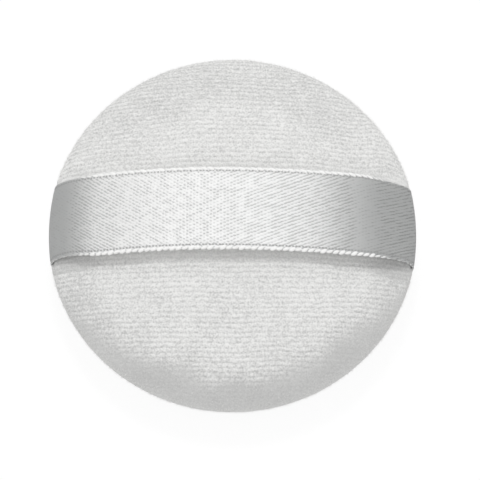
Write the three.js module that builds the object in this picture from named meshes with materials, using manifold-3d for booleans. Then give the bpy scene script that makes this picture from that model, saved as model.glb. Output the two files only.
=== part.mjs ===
// Round powder puff: two velour covers sewn together round a sponge, with a satin ribbon
// over the back that slips over the fingers. Millimetres, +Z up, resting on the powder face.
import * as THREE from "three";
import { LoftGeometry } from "three/addons/geometries/LoftGeometry.js";
import { mergeGeometries, mergeVertices } from "three/addons/utils/BufferGeometryUtils.js";
import Module from "manifold-3d";

const wasm = await Module();
wasm.setup();

// Pad
const PAD_RADIUS = 42; // the cover's cloth at its widest, beside the seam
const BACK_HEIGHT = 9.7; // seam plane up to the crown of the back
const FACE_HEIGHT = 9.6; // seam plane down to the flat that the puff rests on
const REST_RADIUS = 23; // flat middle of the powder face
const BACK_FULLNESS = 2.4; // 2 is an elliptical crown, more is squarer in the shoulder
const FACE_FULLNESS = 2.3;
const CLOTH = 1.4; // velour, backing and pile pressed together
const SEAM_ALLOWANCE = 6; // turned-in edge of each cover
const SEAM_GAP = 0.3; // between the two turned-in edges
const FOAM_CLEARANCE = 0.3;

// Ribbon
const RIBBON_WIDTH = 20;
const RIBBON_THICKNESS = 0.5;
const SELVEDGE = 0.8; // diameter of the corded edge
const RIBBON_RISE = 14.4; // seam plane to the ribbon's middle at its crown
const RIBBON_FULLNESS = 2; // an elliptical arch, clear of the pad's fuller shoulder
const RIBBON_FOLD = 0.6; // radius of the turn where the ribbon leaves the seam
const RIBBON_CLEARANCE = 0.35;
const RIBBON_OFFSET = 2.3; // the ribbon crosses the pad this far to the +Y side of its middle

// Stitching
const THREAD = 0.4; // diameter
const STITCH_LENGTH = 5;
const STITCH_CLEARANCE = 0.15;
const LOOP_WIDTH = 0.8; // between the two legs of a thread in its needle slot
const LOOP_ROUND = 0.5; // height over which the loop turns at its end
const TURNING_GAP = 36; // left open to turn and fill the puff, then closed by hand

// Facets
const ROUND_STEPS = 48; // round the pad
const CROWN_STEPS = 8; // from the middle of a cover to its seam
const LINING_STEPS = 7; // the same, on its inside
const ROLL_STEPS = 3;
const ARCH_STEPS = 17; // half of the ribbon
const TAPE_STEPS = 4; // across the ribbon
const BEAD_STEPS = 6;
const THREAD_SIDES = 4;

const VELOUR = { color: 0xe4e4e2, roughness: 0.95, metalness: 0 };
const SPONGE = { color: 0xf3efe2, roughness: 0.9, metalness: 0 };
const SATIN = { color: 0xeeeeec, roughness: 0.35, metalness: 0 };
const COTTON = { color: 0xf4f4f2, roughness: 0.7, metalness: 0 };

const ROLL_HEIGHT = SEAM_GAP / 2 + CLOTH; // seam plane to the inside face of a turned-in edge
const EDGE_RADIUS = PAD_RADIUS - CLOTH - SEAM_ALLOWANCE; // raw edge of the cloth, inside the pad
const STITCH_RADIUS = PAD_RADIUS - CLOTH - SEAM_ALLOWANCE / 2;
const FLOAT_HEIGHT = ROLL_HEIGHT + THREAD / 2 + 2 * STITCH_CLEARANCE;
const LOCK_HEIGHT = (THREAD + STITCH_CLEARANCE) / 2; // where the two threads hook round each other
const TURNING_MIDDLE = Math.PI / 2; // the closed gap faces +Y, away from the user

// Closed geometry to a solid and back, for cuts.
function solidOf(geometry) {
  const bare = new THREE.BufferGeometry();
  bare.setAttribute("position", geometry.getAttribute("position"));
  bare.setIndex(geometry.getIndex());
  const merged = mergeVertices(bare, 1e-4);
  return new wasm.Manifold(
    new wasm.Mesh({
      numProp: 3,
      vertProperties: merged.getAttribute("position").array,
      triVerts: new Uint32Array(merged.getIndex().array),
    }),
  );
}

function geometryOf(solid) {
  const { vertProperties, triVerts } = solid.getMesh();
  const geometry = new THREE.BufferGeometry();
  geometry.setAttribute("position", new THREE.BufferAttribute(vertProperties, 3));
  geometry.setIndex(new THREE.BufferAttribute(triVerts, 1));
  geometry.computeVertexNormals();
  return geometry;
}

function cut(geometry, cutters) {
  return geometryOf(cutters.map(solidOf).reduce((rest, tool) => rest.subtract(tool), solidOf(geometry)));
}

// Revolves a section, given as radius and height, about Z.
function revolve(section) {
  const points = THREE.ShapeUtils.area(section) < 0 ? [...section].reverse() : section;
  return new THREE.LatheGeometry(points, ROUND_STEPS).rotateX(Math.PI / 2);
}

// A crown is a quarter of a superellipse round a flat middle, measured from its own base.
function crownPoints({ flat, radius, height, fullness }, steps, floor = 0) {
  const last = Math.acos((floor / height) ** (fullness / 2));
  const points = flat > 0 ? [new THREE.Vector2(0, height)] : [];
  for (let i = 0; i <= steps; i++) {
    const angle = (last * i) / steps;
    const out = Math.sin(angle) ** (2 / fullness);
    const up = i === 0 ? 1 : Math.max(Math.cos(angle), 0) ** (2 / fullness);
    points.push(new THREE.Vector2(flat + (radius - flat) * out, height * up));
  }
  return points;
}

// The same crown drawn in by an inset all over, as the far side of a cloth or of a clearance is.
function inset(crown, depth) {
  return { ...crown, radius: crown.radius - depth, height: crown.height - depth };
}

const raised = (points, by) => points.map(({ x, y }) => new THREE.Vector2(x, y + by));
const mirrored = (points) => points.map(({ x, y }) => new THREE.Vector2(x, -y));

const BACK_CROWN = {
  flat: 0,
  radius: PAD_RADIUS,
  height: BACK_HEIGHT - ROLL_HEIGHT,
  fullness: BACK_FULLNESS,
};
const FACE_CROWN = {
  flat: REST_RADIUS,
  radius: PAD_RADIUS,
  height: FACE_HEIGHT - ROLL_HEIGHT,
  fullness: FACE_FULLNESS,
};

// A cover in section: crown, roll at the seam, turned-in edge, and back along the inside.
function coverSection(crown) {
  const roll = [];
  for (let i = 1; i <= ROLL_STEPS; i++) {
    const angle = (-Math.PI / 2) * (i / ROLL_STEPS);
    roll.push(
      new THREE.Vector2(
        PAD_RADIUS - CLOTH + CLOTH * Math.cos(angle),
        ROLL_HEIGHT + CLOTH * Math.sin(angle),
      ),
    );
  }
  return [
    ...raised(crownPoints(crown, CROWN_STEPS), ROLL_HEIGHT),
    ...roll,
    new THREE.Vector2(EDGE_RADIUS, SEAM_GAP / 2),
    new THREE.Vector2(EDGE_RADIUS, ROLL_HEIGHT),
    ...raised(crownPoints(inset(crown, CLOTH), LINING_STEPS), ROLL_HEIGHT).reverse(),
  ];
}

// The sponge fills both covers and is pinched to a waist by the turned-in edges and their stitches.
function foamSection() {
  const waistHeight = FLOAT_HEIGHT + THREAD / 2 + FOAM_CLEARANCE;
  const waistRadius = EDGE_RADIUS - FOAM_CLEARANCE;
  const half = (crown) => [
    ...raised(
      crownPoints(inset(crown, CLOTH + FOAM_CLEARANCE), LINING_STEPS, waistHeight - ROLL_HEIGHT),
      ROLL_HEIGHT,
    ),
    new THREE.Vector2(waistRadius, waistHeight),
  ];
  return [...half(BACK_CROWN), ...mirrored(half(FACE_CROWN)).reverse()];
}

// Flat tape with a corded selvedge along each edge, as across and outward distances.
function ribbonSection() {
  const bead = SELVEDGE / 2;
  const reach = Math.PI - Math.asin(RIBBON_THICKNESS / SELVEDGE);
  const edge = Array.from({ length: BEAD_STEPS + 1 }, (_, i) => {
    const angle = reach * ((2 * i) / BEAD_STEPS - 1);
    return new THREE.Vector2(
      RIBBON_WIDTH / 2 - bead + bead * Math.cos(angle),
      bead * Math.sin(angle),
    );
  });
  const tape = edge[BEAD_STEPS];
  const flat = Array.from(
    { length: TAPE_STEPS - 1 },
    (_, i) => new THREE.Vector2(tape.x * (1 - (2 * (i + 1)) / TAPE_STEPS), tape.y),
  );
  const half = [...edge, ...flat];
  return [...half, ...half.map((point) => point.clone().negate())];
}

// Sweeps the ribbon's section along a line in the XZ plane. Off its middle the ribbon is drawn in,
// so that its ends follow the round of the seam, and each end closes on the middle of the tape.
function ribbonAlong(line) {
  const section = ribbonSection();
  const station = (i, fullness) => {
    const ahead = line[Math.min(i + 1, line.length - 1)];
    const behind = line[Math.max(i - 1, 0)];
    const along = ahead.clone().sub(behind).normalize().multiplyScalar(fullness);
    return section.map(({ x: across, y: out }) => {
      const offMiddle = RIBBON_OFFSET + across;
      const drawnIn = Math.sqrt(1 - (offMiddle / PAD_RADIUS) ** 2);
      return new THREE.Vector3(
        line[i].x * drawnIn - along.y * out,
        offMiddle,
        line[i].y + along.x * out,
      );
    });
  };
  const stations = line.map((_, i) => station(i, 1));
  return new LoftGeometry([station(0, 0), ...stations, station(line.length - 1, 0)]);
}

// The ribbon's right half: out of the seam, round the fold, then up the shoulder to the crown.
const RIBBON_REACH = PAD_RADIUS + RIBBON_CLEARANCE + RIBBON_FOLD;

function ribbonHalf() {
  const fold = Array.from({ length: ROLL_STEPS }, (_, i) => {
    const angle = (-Math.PI / 2) * (1 - i / ROLL_STEPS);
    return new THREE.Vector2(
      RIBBON_REACH - RIBBON_FOLD + RIBBON_FOLD * Math.cos(angle),
      RIBBON_FOLD + RIBBON_FOLD * Math.sin(angle),
    );
  });
  const arch = crownPoints(
    { flat: 0, radius: RIBBON_REACH, height: RIBBON_RISE - RIBBON_FOLD, fullness: RIBBON_FULLNESS },
    ARCH_STEPS,
  );
  return [...fold, ...raised(arch, RIBBON_FOLD).reverse()];
}

function ribbonStrap() {
  const right = ribbonHalf();
  const left = right.slice(0, -1).reverse();
  return ribbonAlong([...right, ...left.map(({ x, y }) => new THREE.Vector2(-x, y))]);
}

function ribbonTail(side) {
  const ends = [new THREE.Vector2(EDGE_RADIUS, 0), new THREE.Vector2(PAD_RADIUS, 0)];
  return ribbonAlong(side > 0 ? ends : ends.map(({ x, y }) => new THREE.Vector2(-x, y)).reverse());
}

// Room that the sewn-in ends of the ribbon take between the turned-in edges.
function tailPockets() {
  return new THREE.BoxGeometry(
    2 * (PAD_RADIUS + RIBBON_CLEARANCE),
    RIBBON_WIDTH + 2 * RIBBON_CLEARANCE,
    SELVEDGE + 2 * RIBBON_CLEARANCE,
  ).translate(0, RIBBON_OFFSET, 0);
}

// A thread as one tube through points on the seam, each given by its angle, radius and height.
function threadAlong(line, diameter) {
  const path = line.map(
    ({ angle, radius, height }) =>
      new THREE.Vector3(radius * Math.cos(angle), radius * Math.sin(angle), height),
  );
  const sections = path.map((point, i) => {
    const ahead = path[Math.min(i + 1, path.length - 1)];
    const behind = path[Math.max(i - 1, 0)];
    const along = ahead.clone().sub(behind).normalize();
    const inward = new THREE.Vector3(-point.x, -point.y, 0).normalize();
    const up = new THREE.Vector3().crossVectors(along, inward).normalize();
    const side = new THREE.Vector3().crossVectors(up, along);
    return Array.from({ length: THREAD_SIDES }, (_, k) => {
      const turn = (2 * Math.PI * k) / THREAD_SIDES;
      return point
        .clone()
        .addScaledVector(up, (diameter / 2) * Math.cos(turn))
        .addScaledVector(side, -(diameter / 2) * Math.sin(turn));
    });
  });
  return new LoftGeometry(sections, { capStart: true, capEnd: true });
}

// The seam starts and ends beside the turning gap, with a needle hole in the middle of each stitch.
function needleAngles() {
  const seam = 2 * Math.PI * STITCH_RADIUS - TURNING_GAP;
  const stitches = Math.floor(seam / STITCH_LENGTH);
  const pitch = seam / stitches / STITCH_RADIUS;
  const start = TURNING_MIDDLE + TURNING_GAP / 2 / STITCH_RADIUS;
  return Array.from({ length: stitches }, (_, i) => start + (i + 0.5) * pitch);
}

// Lockstitch: each thread floats along its own side of the seam and loops into every needle hole.
function lockstitchLine(side) {
  const at = (angle, along, height) => ({
    angle: angle + along / STITCH_RADIUS,
    radius: STITCH_RADIUS,
    height: side * height,
  });
  const leg = LOOP_WIDTH / 2;
  const tail = STITCH_LENGTH / 2; // thread left at each end of the seam
  const loops = needleAngles().flatMap((angle) => [
    at(angle, -leg, FLOAT_HEIGHT),
    at(angle, -leg, LOCK_HEIGHT + LOOP_ROUND),
    at(angle, 0, LOCK_HEIGHT),
    at(angle, leg, LOCK_HEIGHT + LOOP_ROUND),
    at(angle, leg, FLOAT_HEIGHT),
  ]);
  const [first, last] = [loops[0].angle, loops[loops.length - 1].angle];
  return [at(first, -tail, FLOAT_HEIGHT), ...loops, at(last, tail, FLOAT_HEIGHT)];
}

// Slots that the needle leaves in the turned-in edges and in the ribbon between them.
function needleSlots() {
  const slots = needleAngles().map((angle) =>
    new THREE.BoxGeometry(
      THREAD + 2 * STITCH_CLEARANCE,
      LOOP_WIDTH + THREAD + 2 * STITCH_CLEARANCE,
      2 * (ROLL_HEIGHT + STITCH_CLEARANCE),
    )
      .translate(STITCH_RADIUS, 0, 0)
      .rotateZ(angle),
  );
  return mergeGeometries(slots);
}

// Ladder stitch: runs inside one rolled edge, crosses the seam, and runs inside the other.
function ladderLine() {
  const sunk = (CLOTH / 2) * Math.SQRT1_2;
  const radius = PAD_RADIUS - CLOTH + sunk;
  const height = ROLL_HEIGHT - sunk;
  const runs = Math.floor(TURNING_GAP / STITCH_LENGTH);
  const pitch = TURNING_GAP / runs / radius;
  const corner = THREAD / radius;
  const start = TURNING_MIDDLE - TURNING_GAP / 2 / radius;
  const line = [];
  for (let i = 0; i < runs; i++) {
    const side = i % 2 === 0 ? 1 : -1;
    const enter = start + i * pitch;
    line.push(
      { angle: enter, radius, height: side * (height - THREAD) },
      { angle: enter + corner, radius, height: side * height },
      { angle: enter + pitch - corner, radius, height: side * height },
      { angle: enter + pitch, radius, height: side * (height - THREAD) },
    );
  }
  return line;
}

function piece(name, geometry, finish) {
  const mesh = new THREE.Mesh(geometry, new THREE.MeshStandardMaterial(finish));
  mesh.name = name;
  return mesh;
}

const closingLine = ladderLine();
const closingHoles = threadAlong(closingLine, THREAD + 2 * STITCH_CLEARANCE);
const seamCuts = [tailPockets(), needleSlots(), closingHoles];

// Everything is modelled from the seam plane, which lies the height of the powder face above the table.
const pad = new THREE.Group();
pad.position.z = FACE_HEIGHT;
pad.add(
  piece("back_cover", cut(revolve(coverSection(BACK_CROWN)), seamCuts), VELOUR),
  piece("face_cover", cut(revolve(mirrored(coverSection(FACE_CROWN))), seamCuts), VELOUR),
  piece("foam_core", revolve(foamSection()), SPONGE),
  piece("needle_thread", threadAlong(lockstitchLine(1), THREAD), COTTON),
  piece("bobbin_thread", threadAlong(lockstitchLine(-1), THREAD), COTTON),
  piece("closing_thread", threadAlong(closingLine, THREAD), COTTON),
  piece("ribbon_tail_right", cut(ribbonTail(1), [needleSlots()]), SATIN),
  piece("ribbon_tail_left", cut(ribbonTail(-1), [needleSlots()]), SATIN),
);

const strap = new THREE.Group();
strap.position.z = FACE_HEIGHT;
strap.add(piece("ribbon_strap", ribbonStrap(), SATIN));

const puff = new THREE.Group();
puff.add(pad, strap);

export default puff;
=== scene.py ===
# %% [markdown]
# A round powder puff: two looped-pile covers sewn together round a sponge, and a satin ribbon over the
# back that slips over the fingers. The solids already have the right size and place, so this lesson only
# dresses them: it models the cloth, the ribbon and its corded edges, and gives every piece its finish.

# %% Load the solids and read their sizes
import math

import bpy
import numpy as np
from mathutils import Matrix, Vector


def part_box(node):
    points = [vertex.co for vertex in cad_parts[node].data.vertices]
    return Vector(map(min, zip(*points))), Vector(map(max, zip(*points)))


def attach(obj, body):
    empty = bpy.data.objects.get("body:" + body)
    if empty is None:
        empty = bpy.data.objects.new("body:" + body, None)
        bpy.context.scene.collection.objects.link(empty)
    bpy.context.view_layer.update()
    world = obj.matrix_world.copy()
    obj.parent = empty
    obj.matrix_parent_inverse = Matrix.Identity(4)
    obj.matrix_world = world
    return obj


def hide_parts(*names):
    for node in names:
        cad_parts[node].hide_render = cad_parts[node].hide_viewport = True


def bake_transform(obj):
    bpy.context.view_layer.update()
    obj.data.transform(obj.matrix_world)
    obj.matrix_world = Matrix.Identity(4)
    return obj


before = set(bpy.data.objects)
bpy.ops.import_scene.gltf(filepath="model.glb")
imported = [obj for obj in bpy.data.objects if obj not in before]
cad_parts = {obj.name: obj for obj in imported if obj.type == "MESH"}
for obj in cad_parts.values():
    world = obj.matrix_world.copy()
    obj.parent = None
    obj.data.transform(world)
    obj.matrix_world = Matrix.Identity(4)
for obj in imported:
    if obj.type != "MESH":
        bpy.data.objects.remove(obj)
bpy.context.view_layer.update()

MM = 0.001
RIBBON_NEARER = 0.3 * MM  # how much nearer the front the ribbon lies than its solid

back_low, back_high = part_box("back_cover")
face_low, face_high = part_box("face_cover")
strap_low, strap_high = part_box("ribbon_strap")
tail_low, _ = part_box("ribbon_tail_right")

SEAM_Z = (back_low.z + face_high.z) / 2
PAD_RADIUS = back_high.x
BACK_HEIGHT = back_high.z - SEAM_Z
FACE_HEIGHT = SEAM_Z - face_low.z
RIBBON_WIDTH = strap_high.y - strap_low.y
RIBBON_Y = (strap_high.y + strap_low.y) / 2 - RIBBON_NEARER
TAIL_END = tail_low.x
print(f"pad radius {PAD_RADIUS / MM:.1f} mm, seam {SEAM_Z / MM:.1f} mm up")
print(f"ribbon {RIBBON_WIDTH / MM:.1f} mm wide, its middle at y {RIBBON_Y / MM:.1f} mm")

# %% [markdown]
# The camera comes first, so that every later piece can be judged in the right frame. A long lens far away
# keeps the pad's outline an ellipse with hardly any perspective. One pixel of the picture is a known
# length on the pad, which gives the lens, and the camera is moved sideways until the pad's middle falls
# on the same pixel as in the photograph.

# %% Camera
PICTURE_SIDE = 480
PAD_MIDDLE_PIXEL = (232.5, 236.2)
PIXELS_PER_MM = 4.326
CAMERA_ELEVATION = math.radians(71.4)
CAMERA_DISTANCE = 1.2
CLIP_START = 0.01
SENSOR = 36

backwards = Vector((0, -math.cos(CAMERA_ELEVATION), math.sin(CAMERA_ELEVATION)))
picture_up = Vector((0, math.sin(CAMERA_ELEVATION), math.cos(CAMERA_ELEVATION)))
pixel = MM / PIXELS_PER_MM
aim = Vector((0, 0, SEAM_Z))
aim += Vector((1, 0, 0)) * (PICTURE_SIDE / 2 - PAD_MIDDLE_PIXEL[0]) * pixel
aim -= picture_up * (PICTURE_SIDE / 2 - PAD_MIDDLE_PIXEL[1]) * pixel

bpy.ops.object.select_all(action="DESELECT")
bpy.ops.object.camera_add(location=aim + backwards * CAMERA_DISTANCE)
camera = bpy.context.object
camera.rotation_euler = backwards.to_track_quat("Z", "Y").to_euler()
camera.data.sensor_width = SENSOR
camera.data.lens = SENSOR * CAMERA_DISTANCE / (PICTURE_SIDE * pixel)
camera.data.clip_start = CLIP_START
bpy.context.scene.camera = camera
print(f"lens {camera.data.lens:.0f} mm at {CAMERA_DISTANCE} m")

# %% [markdown]
# A few helpers that every piece uses. Vertices are read and written as one array, because moving a
# hundred thousand of them one by one is slow. A modifier is applied as soon as it has done its work, so
# that what is seen is what the mesh holds.

# %% Helpers for meshes
LEAST = 1e-9  # stands in for a length of nothing where something is divided by it
SCATTER = (374761393, 668265263, 974634373, 1274126177)  # large odd numbers that shuffle the bits of a place


def newest(name):
    """The object that was made last, under that name."""
    piece = bpy.context.object
    piece.name = name
    piece.data.name = name
    return piece


def places(piece):
    """The piece's vertices as rows of x, y, z."""
    flat = np.empty(len(piece.data.vertices) * 3)
    piece.data.vertices.foreach_get("co", flat)
    return flat.reshape(-1, 3)


def move_to(piece, points):
    piece.data.vertices.foreach_set("co", points.astype(np.float32).ravel())
    piece.data.update()


def outward(piece):
    """The direction that the surface faces at each vertex."""
    flat = np.empty(len(piece.data.vertices) * 3, np.float32)
    piece.data.vertex_normals.foreach_get("vector", flat)
    return flat.reshape(-1, 3).astype(float)


def use_alone(piece):
    bpy.ops.object.select_all(action="DESELECT")
    piece.select_set(True)
    bpy.context.view_layer.objects.active = piece


def apply_modifier(piece, kind, **settings):
    modifier = piece.modifiers.new(kind.lower(), kind)
    for name, value in settings.items():
        setattr(modifier, name, value)
    use_alone(piece)
    bpy.ops.object.modifier_apply(modifier=modifier.name)


def smooth_step(low, high, value):
    """0 below low, 1 above high, and smooth between them."""
    share = np.clip((value - low) / (high - low), 0, 1)
    return share * share * (3 - 2 * share)


def left_right(pair, x):
    """The left or the right one of a pair, whichever holds at that x."""
    return np.where(x < 0, pair[-1], pair[1])


def speckle(x, y, seed):
    """Smooth repeatable noise from 0 to 1 with one blob for each unit of x and y."""
    def corner(i, j):
        n = (i * SCATTER[0] + j * SCATTER[1] + seed * SCATTER[2]) & 0xFFFFFFFF
        n = ((n ^ (n >> 13)) * SCATTER[3]) & 0xFFFFFFFF
        return ((n ^ (n >> 16)) & 0xFFFF) / 0xFFFF

    i, j = np.floor(x).astype(np.int64), np.floor(y).astype(np.int64)
    across, up = smooth_step(0, 1, x - i), smooth_step(0, 1, y - j)
    low = corner(i, j) * (1 - across) + corner(i + 1, j) * across
    high = corner(i, j + 1) * (1 - across) + corner(i + 1, j + 1) * across
    return low * (1 - up) + high * up


def uneven(u, v, size, seed):
    """Noise from -0.5 to 0.5 in blobs of that size."""
    return speckle(u / size, v / size, seed) - 0.5


# %% [markdown]
# The ribbon's line is settled before anything soft, because the pad gives way to it. It leaves the seam
# on one side, folds up round the rim, arches over the back and goes into the seam on the other side. The
# arch is two quarters of a superellipse that meet at a crest, which lies a little left of the middle.
# Towards its ends the ribbon bends a little and is gathered, because the seam holds it tightly there.

# %% The ribbon's line
RIBBON_THICKNESS = 0.45 * MM
SELVEDGE = 0.8 * MM  # thickness of the corded edges
CREST_ROOM = 0.1 * MM  # from the corded edges to the top of the solid
RIBBON_PAST = 0.2 * MM  # by which the line reaches out past the pad
RIBBON_RISE = strap_high.z - SEAM_Z - SELVEDGE / 2 - CREST_ROOM
RIBBON_REACH = PAD_RADIUS + RIBBON_PAST
RIBBON_CREST = -3.5 * MM
RIBBON_FOLD = 0.6 * MM  # radius of the folds at the seam
RIBBON_FULLNESS = {-1: 2.2, 1: 2.4}  # of its left and its right half
RIBBON_BEND = {-1: 0.5 * MM, 1: 0.57 * MM}  # how much nearer the front its ends lie than its crest
BEND_REACH = 35 * MM  # from the crest to where it has bent that much
GATHER = 0.045  # share of its width by which the ribbon is gathered where it is sewn in
GATHERED = (30 * MM, 39 * MM)  # from the middle, between which it is gathered
END_SHIFT = {-1: 0.45 * MM, 1: -0.45 * MM}  # how much further back it is gathered to, left and right
FOLD_ROUND = 1.12 * PAD_RADIUS  # the folds are straighter than the rim
FOLD_LIMIT = 0.9  # share of that radius beyond which there is no fold
FOLD_STEPS = 9
LINE_STEPS = 400


def half_line(side):
    """From one sewn end of the ribbon up to its crest, as x and height over the seam."""
    turn = np.linspace(-math.pi / 2, 0, FOLD_STEPS)
    fold_out = RIBBON_REACH - RIBBON_FOLD + RIBBON_FOLD * np.cos(turn)
    fold_up = RIBBON_FOLD + RIBBON_FOLD * np.sin(turn)
    turn = np.linspace(math.pi / 2, 0, LINE_STEPS)[1:]
    crest = side * RIBBON_CREST
    power = 2 / RIBBON_FULLNESS[side]
    out = crest + (RIBBON_REACH - crest) * np.sin(turn) ** power
    up = RIBBON_FOLD + (RIBBON_RISE - RIBBON_FOLD) * np.cos(turn) ** power
    x = side * np.concatenate([[TAIL_END, RIBBON_REACH - 2 * RIBBON_FOLD], fold_out, out])
    return np.stack([x, np.concatenate([[0, 0], fold_up, up])], axis=1)


line = np.concatenate([half_line(-1), half_line(1)[-2::-1]])
line_length = np.concatenate([[0], np.cumsum(np.linalg.norm(np.diff(line, axis=0), axis=1))])
RIBBON_LENGTH = line_length[-1]
print(f"ribbon cut to {RIBBON_WIDTH / MM:.1f} by {RIBBON_LENGTH / MM:.1f} mm")


def gathered(x):
    """1 at the ribbon's ends, and 0 where it has its full width."""
    return smooth_step(*GATHERED, np.abs(x))


def ribbon_middle(x):
    """The y of the ribbon's middle at that x."""
    bend = left_right(RIBBON_BEND, x) * smooth_step(0, BEND_REACH, np.abs(x - RIBBON_CREST))
    return RIBBON_Y - bend + left_right(END_SHIFT, x) * gathered(x)


def half_width(x):
    return RIBBON_WIDTH / 2 * (1 - GATHER * gathered(x))


def drawn_in(y):
    """The share of its reach along the X axis that the ribbon's fold has at that y."""
    return np.sqrt(1 - np.minimum(np.abs(y) / FOLD_ROUND, FOLD_LIMIT) ** 2)


# %% [markdown]
# Each cover is a disc of cloth that is domed over the sponge and turned in at the seam. It could be cut
# from a sphere, but the real crown is flatter than that and rounds off quickly at the rim. So its profile
# is a quarter of a superellipse with a small roll at the seam, and a circle is extruded from ring to ring
# along it. The face also has a level middle, which the puff rests on.

# %% The form of a cover
ROLL = 0.7 * MM  # radius to which the cloth rolls in at the seam
REST_RADIUS = 23 * MM
LOOP = 0.34 * MM  # from the roots to the top of a loop of the pile
BACK_OVER = 0.6 * MM  # by which the back is drawn larger than its solid
FACE_UNDER = 0.35 * MM  # by which the face is drawn narrower, since its loops widen it again
BACK_FULLNESS = 2.6
FACE_FULLNESS = 2.4
PROFILE_STEPS = 160
ROLL_STEPS = 9
LEVEL_STEPS = 40
RING_SIDES = 96
RING_STRIDE = 8  # steps of the profile from one extruded ring to the next


def crown(flat, radius, height, fullness):
    """Radius and height over the seam, from the middle of a cover to its seam."""
    turn = np.linspace(0, math.pi / 2, PROFILE_STEPS)
    out = flat + (radius - flat) * np.sin(turn) ** (2 / fullness)
    up = ROLL + (height - ROLL) * np.cos(turn) ** (2 / fullness)
    turn = np.linspace(0, math.pi / 2, ROLL_STEPS)[1:]
    roll_out = radius - ROLL + ROLL * np.cos(turn)
    roll_up = ROLL - ROLL * np.sin(turn)
    level = np.linspace(0, flat, LEVEL_STEPS, endpoint=False) if flat > 0 else []
    out = np.concatenate([level, out, roll_out])
    up = np.concatenate([np.full(len(level), height), up, roll_up])
    return np.stack([out, up], axis=1)


def extrude_rings(path, side):
    """Extrude the selected ring along a path of radius and height over the seam."""
    for (radius, height), (next_radius, next_height) in zip(path, path[1:]):
        rise = side * (next_height - height)
        bpy.ops.mesh.extrude_region_move(TRANSFORM_OT_translate={"value": (0, 0, rise)})
        factor = next_radius / radius
        bpy.ops.transform.resize(value=(factor, factor, 1))


def ring_by_ring(name, profile, side):
    rings = profile[::-1][::RING_STRIDE]
    rings = rings[rings[:, 0] > MM]
    radius, height = rings[0]
    bpy.ops.object.select_all(action="DESELECT")
    bpy.ops.mesh.primitive_circle_add(
        vertices=RING_SIDES, radius=radius, fill_type="NGON", location=(0, 0, SEAM_Z + side * height)
    )
    bpy.ops.object.transform_apply(location=True)
    bpy.ops.object.mode_set(mode="EDIT")
    bpy.ops.mesh.select_all(action="SELECT")
    extrude_rings(rings, side)
    bpy.ops.mesh.select_all(action="SELECT")
    bpy.ops.mesh.normals_make_consistent(inside=False)
    bpy.ops.object.mode_set(mode="OBJECT")
    return newest(name)


BACK_PROFILE = crown(0.0, PAD_RADIUS + BACK_OVER, BACK_HEIGHT + BACK_OVER, BACK_FULLNESS)
FACE_PROFILE = crown(REST_RADIUS, PAD_RADIUS - FACE_UNDER, FACE_HEIGHT - LOOP, FACE_FULLNESS)
back = ring_by_ring("back_cover_velour", BACK_PROFILE, 1)
face = ring_by_ring("face_cover_velour", FACE_PROFILE, -1)
for cover in (back, face):
    print(cover.name, len(cover.data.polygons), "faces drawn")

# %% [markdown]
# Cloth over sponge isn't a perfect solid of revolution. Each form is remeshed into even squares, which
# are trued up on the profile again, and swollen by a short cloth simulation: air pressure pushes the
# cloth out while the seam stays sewn down. Only a share of the swell is kept, because the sponge sets a
# puff's size.

# %% Swell the covers with cloth
VOXEL = 0.9 * MM
SWELL = 0.4 * MM
SWELL_FRAMES = 20
CLOTH_MASS = 0.0002
AIR_PRESSURE = 40
ON_SEAM = 0.05 * MM  # height over the seam up to which a point is left where it is


def turn_at(out, up, profile):
    return np.arctan2(out / profile[:, 0].max(), up / profile[0, 1])


def trued_up(points, profile, side):
    """The points moved onto the profile that they were remeshed from."""
    out = np.hypot(points[:, 0], points[:, 1])
    up = side * (points[:, 2] - SEAM_Z)
    turns = turn_at(profile[:, 0], profile[:, 1], profile)
    turn = turn_at(out, up, profile)
    scale = np.interp(turn, turns, profile[:, 0]) / np.maximum(out, LEAST)
    z = SEAM_Z + side * np.interp(turn, turns, profile[:, 1])
    true = np.stack([points[:, 0] * scale, points[:, 1] * scale, z], axis=1)
    return np.where((up > ON_SEAM)[:, None], true, points)


def swell(cover, profile, side):
    apply_modifier(cover, "REMESH", mode="VOXEL", voxel_size=VOXEL)
    rest = trued_up(places(cover), profile, side)
    move_to(cover, rest)
    sewn = cover.vertex_groups.new(name="sewn")
    held = side * (rest[:, 2] - SEAM_Z) < 2 * ROLL
    if side < 0:
        held |= rest[:, 2] < LOOP + VOXEL / 4
    sewn.add(np.flatnonzero(held).tolist(), 1.0, "REPLACE")
    cloth = cover.modifiers.new("swell", "CLOTH")
    cloth.settings.mass = CLOTH_MASS
    cloth.settings.use_pressure = True
    cloth.settings.uniform_pressure_force = AIR_PRESSURE
    cloth.settings.effector_weights.gravity = 0
    cloth.settings.vertex_group_mass = sewn.name
    scene = bpy.context.scene
    for number in range(1, SWELL_FRAMES + 1):
        scene.frame_set(number)
    use_alone(cover)
    bpy.ops.object.modifier_apply(modifier=cloth.name)
    scene.frame_set(1)
    moved = places(cover) - rest
    length = np.linalg.norm(moved, axis=1)
    share = min(1, SWELL / length.max())
    move_to(cover, rest + moved * share)
    cover.vertex_groups.clear()
    print(f"{cover.name} swelled {length.max() / MM:.2f} mm at most, of which {share:.0%} is kept")


swell(back, BACK_PROFILE, 1)
swell(face, FACE_PROFILE, -1)

# %% [markdown]
# Now the cloth itself. The pile is loops in rows across the puff, each row broken into short tufts. A
# bump map would leave the rim smooth, so the loops are worked into the mesh. They are laid out in
# millimetres on the flat disc that the cover was cut from, so that the rows run over the shoulder as a
# real cloth's do. Towards the rear right the rows bend more, and towards the rear the loops are a little
# more even.

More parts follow.
